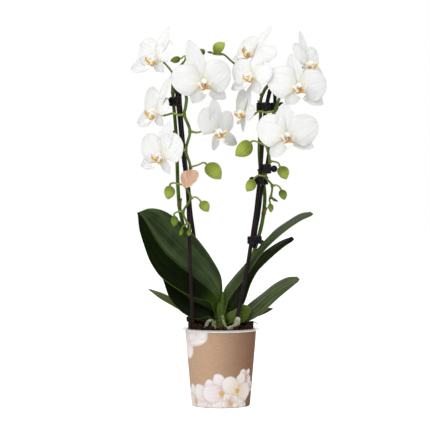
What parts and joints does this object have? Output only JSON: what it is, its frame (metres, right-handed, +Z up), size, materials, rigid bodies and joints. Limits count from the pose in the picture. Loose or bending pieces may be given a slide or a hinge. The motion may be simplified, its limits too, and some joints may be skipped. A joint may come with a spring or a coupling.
{
  "type": "potted orchid",
  "caption": "White moth orchid with two arching flower spikes tied to slim stakes, rooted in bark in a clear nursery pot inside a tapered printed card cover pot.",
  "frame": {"origin": "centre of the flat base of the cover pot", "axes": "+Z up along the pot axis, +X to the right, -Y to the front, the side the flowers face"},
  "size_m": [0.2257, 0.1121, 0.4402],
  "materials": {
    "printed_card": "matt printed card, brown with pale blossom",
    "clear_plastic": "clear, slightly milky, glossy",
    "bark": "rough broken bark",
    "leaf_green": "deep green, waxy sheen",
    "young_leaf": "yellow-green, satin",
    "root_skin": "silver-grey, dull",
    "stem_green": "green, satin",
    "dark_stake": "dark plum, satin",
    "black_clip": "black, satin",
    "salmon_tag": "salmon, satin",
    "petal_white": "white, soft, slightly translucent",
    "bud_green": "lime green, satin"
  },
  "bodies": {
    "root": {"cover_pot": "printed_card", "nursery_pot": "clear_plastic", "bark_substrate": "bark", "crown": "stem_green", "root_silver": "root_skin", "root_green": "root_skin", "root_left": "root_skin", "root_right": "root_skin", "leaf_left_large": "leaf_green", "leaf_left_middle": "leaf_green", "leaf_left_small": "leaf_green", "leaf_right_tall": "leaf_green", "leaf_right_middle": "leaf_green", "leaf_right_low": "leaf_green", "leaf_right_hidden": "leaf_green", "leaf_right_young": "young_leaf", "stake_left_front": "dark_stake", "stake_left_rear": "dark_stake", "stake_right_front": "dark_stake", "stake_right_rear": "dark_stake", "spike_left": "stem_green", "spike_right": "stem_green", "clip_left_top": "black_clip", "clip_right_top": "black_clip", "clip_right_middle": "black_clip", "clip_right_lower": "black_clip", "clip_right_base": "black_clip", "tag_clip": "salmon_tag", "flower_01": "petal_white", "flower_02": "petal_white", "flower_03": "petal_white", "flower_04": "petal_white", "flower_05": "petal_white", "flower_06": "petal_white", "flower_07": "petal_white", "flower_08": "petal_white", "flower_09": "petal_white", "flower_10": "petal_white", "flower_11": "petal_white", "bud_01": "bud_green", "bud_02": "bud_green", "bud_03": "bud_green", "bud_04": "bud_green", "bud_05": "bud_green", "bud_06": "bud_green", "bud_07": "bud_green", "bud_08": "bud_green", "bud_09": "bud_green", "bud_10": "bud_green", "bud_11": "bud_green", "bud_12": "bud_green", "bud_13": "bud_green", "bud_14": "bud_green"}
  },
  "joints": []
}
